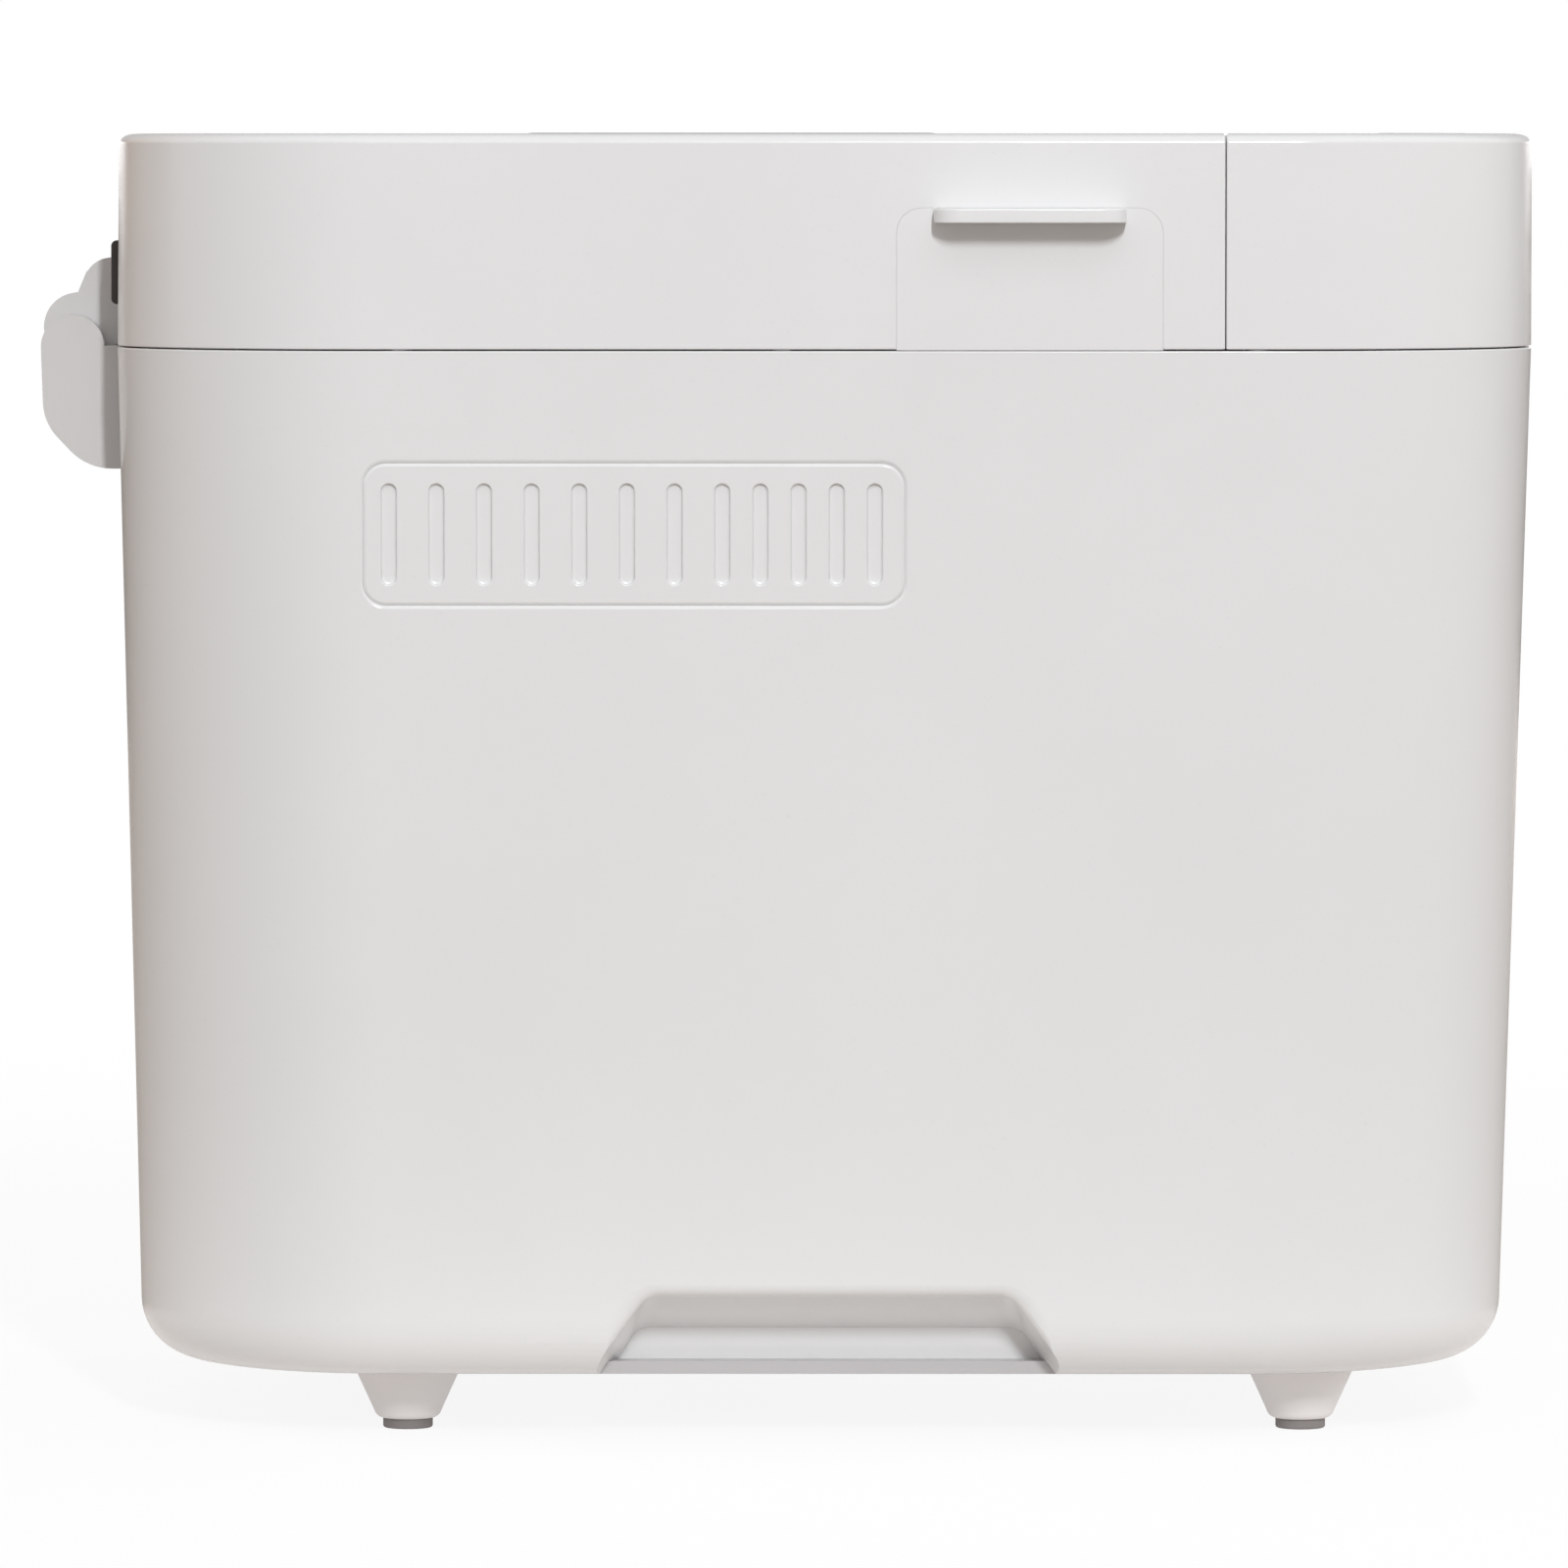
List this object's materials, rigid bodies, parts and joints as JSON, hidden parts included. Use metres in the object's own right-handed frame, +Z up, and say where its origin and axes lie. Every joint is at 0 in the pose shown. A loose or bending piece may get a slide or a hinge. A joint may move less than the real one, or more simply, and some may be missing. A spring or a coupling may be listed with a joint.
{
  "type": "bread machine",
  "caption": "Countertop bread machine with a hinged windowed lid, control housing, lift-out pan with bail, kneading paddle and belt drive.",
  "frame": {"origin": "on the table under the middle of the whole machine, hinge included", "axes": "+Z up, -Y towards the control housing at the front, +Y towards the hinge, X across"},
  "size_m": [0.248, 0.362, 0.3123],
  "materials": {
    "white_gloss": "white moulded plastic with a high gloss",
    "white_satin": "white moulded plastic with a satin finish",
    "window_tint": "tinted window",
    "clear_pane": "clear heat-resistant pane",
    "display_glass": "clear display cover",
    "dark_plastic": "dark grey moulded plastic",
    "pad_rubber": "grey rubber",
    "seal_silicone": "grey silicone",
    "sheet_steel": "aluminised sheet steel",
    "screw_steel": "zinc-plated steel",
    "shaft_steel": "ground steel",
    "pan_coating": "cast aluminium with a dark non-stick coating",
    "cast_metal": "die-cast aluminium",
    "heater_sheath": "blackened steel tube",
    "bronze": "sintered bronze",
    "acetal": "natural acetal",
    "belt_rubber": "black belt rubber",
    "board_green": "circuit board with solder mask",
    "lcd_grey": "grey-green liquid crystal",
    "capacitor_can": "drawn aluminium can"
  },
  "bodies": {
    "housing": {"body_shell": "white_gloss", "base_plate": "white_gloss", "foot_pads": "pad_rubber", "case_screws": "screw_steel", "vent_panel_left": "white_gloss", "vent_panel_right": "white_gloss", "top_deck": "white_satin", "chamber": "sheet_steel", "heating_element": "heater_sheath", "heater_clips": "sheet_steel", "temperature_sensor": "shaft_steel", "pan_dock": "cast_metal", "bearing_housing": "cast_metal", "shaft_bush": "bronze", "chassis_plate": "sheet_steel", "motor_housing": "sheet_steel", "drive_belt": "belt_rubber", "run_capacitor": "capacitor_can", "power_board": "board_green", "front_cover": "white_gloss", "control_overlay": "white_satin", "display_lens": "display_glass", "display_module": "lcd_grey", "control_board": "board_green", "key_switches": "dark_plastic", "hinge_bracket": "white_satin", "hinge_pin": "shaft_steel", "hinge_screws": "screw_steel", "mains_gland": "dark_plastic"},
    "lid": {"lid_shell": "white_gloss", "lid_window": "window_tint", "window_frame": "dark_plastic", "inner_window": "clear_pane", "lid_liner": "sheet_steel", "lid_seal": "seal_silicone", "lid_grip_left": "white_gloss", "lid_grip_right": "white_gloss", "lid_vents": "dark_plastic", "lid_hinge_arm": "white_satin", "lid_screws": "screw_steel"},
    "pan": {"pan": "pan_coating", "pan_base_ring": "cast_metal", "pan_bush": "bronze", "handle_pivots": "screw_steel"},
    "pan_handle": {"pan_handle": "shaft_steel"},
    "pan_drive": {"pan_shaft": "shaft_steel", "pan_wing": "cast_metal"},
    "paddle": {"kneading_paddle": "pan_coating"},
    "drive": {"drive_shaft": "shaft_steel", "drive_coupler": "cast_metal", "drive_pulley": "acetal"},
    "motor_rotor": {"motor_rotor": "shaft_steel", "motor_pulley": "acetal"},
    "menu_key": {"menu_button": "white_satin"},
    "size_key": {"size_button": "white_satin"},
    "crust_key": {"crust_button": "white_satin"},
    "time_up_key": {"time_up_button": "white_satin"},
    "time_down_key": {"time_down_button": "white_satin"},
    "start_key": {"start_button": "white_satin"}
  },
  "joints": [
    {"name": "lid_hinge", "type": "hinge", "parent": "housing", "child": "lid", "pos_m": [0, 0.17328, 0.26], "axis": [-1, 0, 0], "range_deg": [0, 95]},
    {"name": "pan_lift", "type": "slide", "parent": "housing", "child": "pan", "axis": [0, 0, 1], "range_m": [0, 0.014]},
    {"name": "bail_swing", "type": "hinge", "parent": "pan", "child": "pan_handle", "pos_m": [0, 0.01997, 0.231], "axis": [1, 0, 0], "range_deg": [0, 18]},
    {"name": "pan_shaft_spin", "type": "hinge", "parent": "pan", "child": "pan_drive", "pos_m": [0, 0.01997, 0.098], "axis": [0, 0, 1], "continuous": true},
    {"name": "paddle_lift", "type": "slide", "parent": "pan_drive", "child": "paddle", "axis": [0, 0, 1], "range_m": [0, 0.024]},
    {"name": "drive_spin", "type": "hinge", "parent": "housing", "child": "drive", "pos_m": [0, 0.01997, 0.078], "axis": [0, 0, 1], "continuous": true},
    {"name": "motor_spin", "type": "hinge", "parent": "housing", "child": "motor_rotor", "pos_m": [0, -0.13203, 0.078], "axis": [0, 0, 1], "continuous": true},
    {"name": "menu_press", "type": "slide", "parent": "housing", "child": "menu_key", "axis": [0, 0, -1], "range_m": [0, 0.0008], "stiffness_N_per_m": 400},
    {"name": "size_press", "type": "slide", "parent": "housing", "child": "size_key", "axis": [0, 0, -1], "range_m": [0, 0.0008], "stiffness_N_per_m": 400},
    {"name": "crust_press", "type": "slide", "parent": "housing", "child": "crust_key", "axis": [0, 0, -1], "range_m": [0, 0.0008], "stiffness_N_per_m": 400},
    {"name": "time_up_press", "type": "slide", "parent": "housing", "child": "time_up_key", "axis": [0, 0, -1], "range_m": [0, 0.0008], "stiffness_N_per_m": 400},
    {"name": "time_down_press", "type": "slide", "parent": "housing", "child": "time_down_key", "axis": [0, 0, -1], "range_m": [0, 0.0008], "stiffness_N_per_m": 400},
    {"name": "start_press", "type": "slide", "parent": "housing", "child": "start_key", "axis": [0, 0, -1], "range_m": [0, 0.0008], "stiffness_N_per_m": 400}
  ],
  "couplings": [
    {"joint": "pan_shaft_spin", "follows": "drive_spin", "ratio": 1},
    {"joint": "motor_spin", "follows": "drive_spin", "ratio": 5.6}
  ]
}
